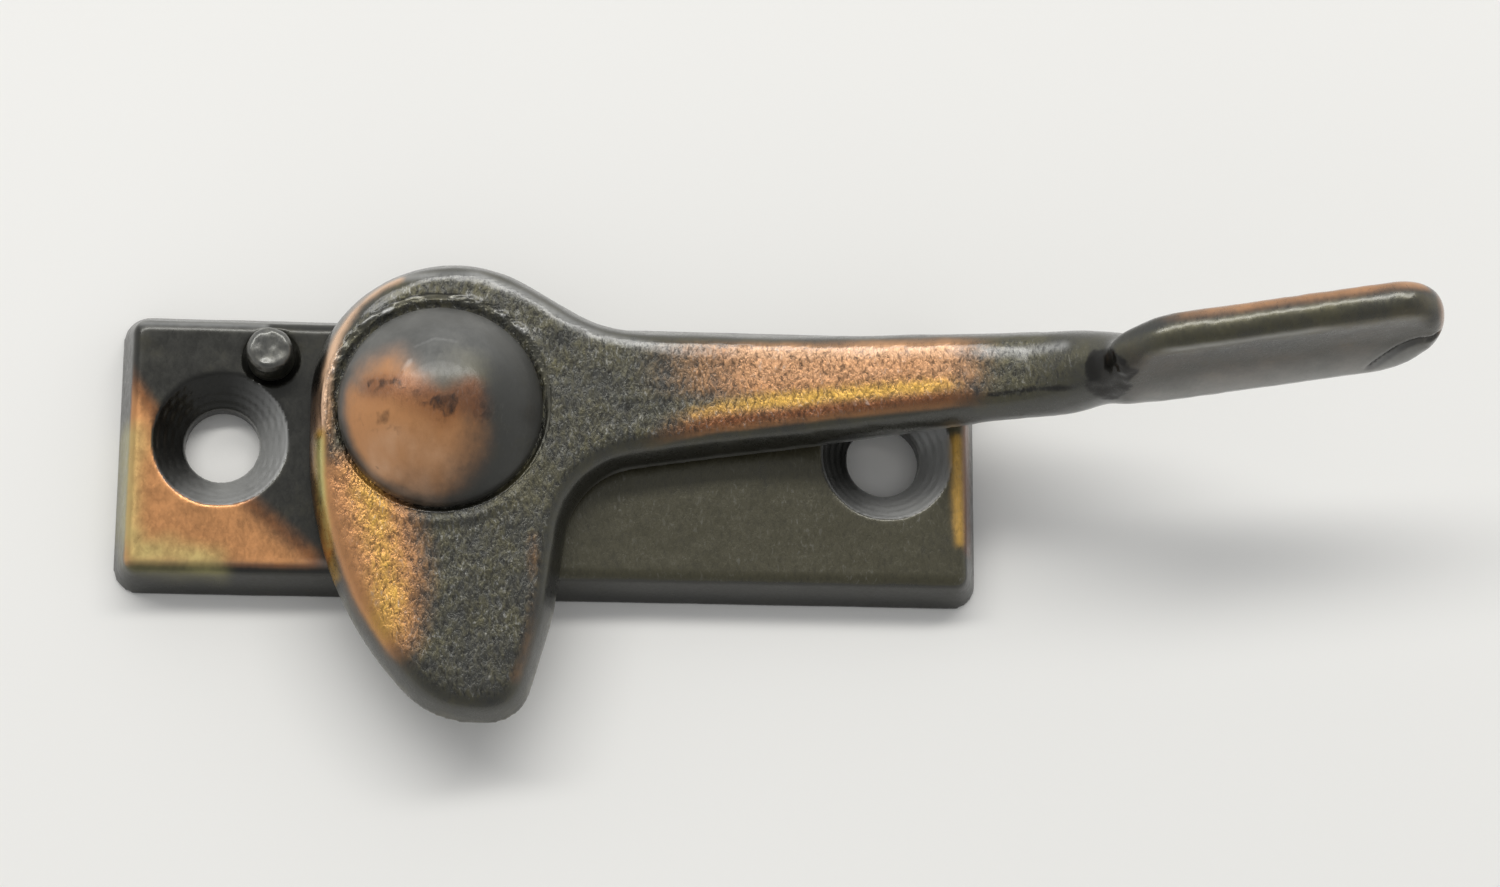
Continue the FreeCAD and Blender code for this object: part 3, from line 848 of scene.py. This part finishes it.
def make_pin():
    piece = even_copy("stop_pin", "stop_pin_peened", PIN_CELL)
    mesh = piece.data
    points = from_pivot(mesh)
    up = normals(mesh)[:, 2]
    hammered = 0.5 + 0.5 * rough(points, 0.9, 71, 2)
    sink(mesh, 0.25 * hammered * ramp(up, -0.2, 0.3) * (points[:, 2] > PLATE_FACE))
    even = np.full(len(mesh.vertices), 0.3)
    paint_all(mesh, grain=even, olive=even, bare=0.35 * ramp(points[:, 2], 5.0, 5.5))
    finish_piece(piece, "base", "stop_pin", flashed_iron("pin_iron", 0.06, 0.34))


def make_washer():
    node = frame["nodes"]["friction_washer"]
    node.data.materials.clear()
    node.data.materials.append(brass("washer_brass"))


# ---------------------------------------------------------------- the setting

CAMERA_TILT = 13.94
CAMERA_AROUND = -20.27
CAMERA_ROLL = 21.04
CAMERA_DISTANCE = 0.210
CAMERA_TARGET = PIVOT + Vector((19.34, -0.97, 3.0)) * MM
CAMERA_LENS = 80.39
CAMERA_SENSOR = 36.0

KEY_PLACE = Vector((-0.04, 0.35, 0.5))
KEY_TARGET = Vector((0.01, 0, 0))
KEY_WIDTH = 0.9
KEY_DEPTH = 0.1
KEY_POWER = 2.7

# How bright the sky is level and overhead, and how it changes from the near to the far side
SKY_LEVEL = 0.85
SKY_OVERHEAD = 0.45
SKY_NEAR = 0.55
SKY_FAR = 1.35

# Half the floor's width in metres, and how far below the plate's back it lies in millimetres
FLOOR_HALF = 1.5
FLOOR_DROP = 0.02


def make_camera():
    """Looks nearly straight down at the fastener, leaning towards the tongue."""
    tilt, around, roll = (math.radians(a) for a in (CAMERA_TILT, CAMERA_AROUND, CAMERA_ROLL))
    back = Vector((math.sin(tilt) * math.sin(around), -math.sin(tilt) * math.cos(around), math.cos(tilt)))
    level = Vector((math.cos(around), math.sin(around), 0))
    upright = back.cross(level)
    right = level * math.cos(roll) + upright * math.sin(roll)
    up = upright * math.cos(roll) - level * math.sin(roll)
    data = bpy.data.cameras.new("camera")
    data.sensor_width = CAMERA_SENSOR
    data.lens = CAMERA_LENS
    data.clip_start = 0.01
    camera = bpy.data.objects.new("camera", data)
    camera.matrix_world = Matrix((right, up, back)).transposed().to_4x4()
    camera.location = CAMERA_TARGET + back * CAMERA_DISTANCE
    bpy.context.scene.collection.objects.link(camera)
    bpy.context.scene.camera = camera


def make_floor():
    g = Graph("pale_table")
    colour = g.mix(g.noise(g.place(), 60, 2), tone("EDECE8"), tone("F1F0EC"))
    g.put(colour, g.shader.inputs["Base Color"])
    g.shader.inputs["Roughness"].default_value = 0.75
    signs = ((-1, -1), (1, -1), (1, 1), (-1, 1))
    corners = [Vector((FLOOR_HALF * a, FLOOR_HALF * b, 0)) for a, b in signs]
    mesh = bpy.data.meshes.new("floor")
    mesh.from_pydata(corners, [], [(0, 1, 2, 3)])
    mesh.materials.append(g.material)
    floor = bpy.data.objects.new("floor", mesh)
    floor.location.z = -FLOOR_DROP * MM
    bpy.context.scene.collection.objects.link(floor)


def make_key():
    """A long narrow soft box above and beyond the plate's top edge."""
    data = bpy.data.lights.new("key", "AREA")
    data.shape = "RECTANGLE"
    data.size = KEY_WIDTH
    data.size_y = KEY_DEPTH
    data.energy = KEY_POWER
    data.color = (1.0, 0.99, 0.97)
    lamp = bpy.data.objects.new("key", data)
    lamp.location = KEY_PLACE
    lamp.rotation_euler = (KEY_TARGET - KEY_PLACE).to_track_quat("-Z", "Y").to_euler()
    bpy.context.scene.collection.objects.link(lamp)


def make_world():
    """Even daylight, weaker overhead and brighter on the key's side."""
    world = bpy.data.worlds.new("studio")
    world.use_nodes = True
    tree = world.node_tree
    background = tree.nodes["Background"]
    direction = tree.nodes.new("ShaderNodeTexCoord")
    split = tree.nodes.new("ShaderNodeSeparateXYZ")
    tree.links.new(direction.outputs["Generated"], split.inputs[0])
    fade = tree.nodes.new("ShaderNodeMapRange")
    fade.interpolation_type = "SMOOTHSTEP"
    fade.inputs["From Min"].default_value = 0.1
    fade.inputs["From Max"].default_value = 0.95
    fade.inputs["To Min"].default_value = SKY_LEVEL
    fade.inputs["To Max"].default_value = SKY_OVERHEAD
    tree.links.new(split.outputs["Z"], fade.inputs["Value"])
    behind = tree.nodes.new("ShaderNodeMapRange")
    behind.inputs["From Min"].default_value = -1.0
    behind.inputs["To Min"].default_value = SKY_NEAR
    behind.inputs["To Max"].default_value = SKY_FAR
    tree.links.new(split.outputs["Y"], behind.inputs["Value"])
    product = tree.nodes.new("ShaderNodeMath")
    product.operation = "MULTIPLY"
    tree.links.new(fade.outputs[0], product.inputs[0])
    tree.links.new(behind.outputs[0], product.inputs[1])
    tree.links.new(product.outputs[0], background.inputs["Strength"])
    background.inputs["Color"].default_value = (0.97, 0.98, 1.0, 1.0)
    bpy.context.scene.world = world
    bpy.context.scene.view_settings.view_transform = "Standard"


make_lever()
make_plate()
make_rivet()
make_pin()
make_washer()
make_camera()
make_floor()
make_key()
make_world()
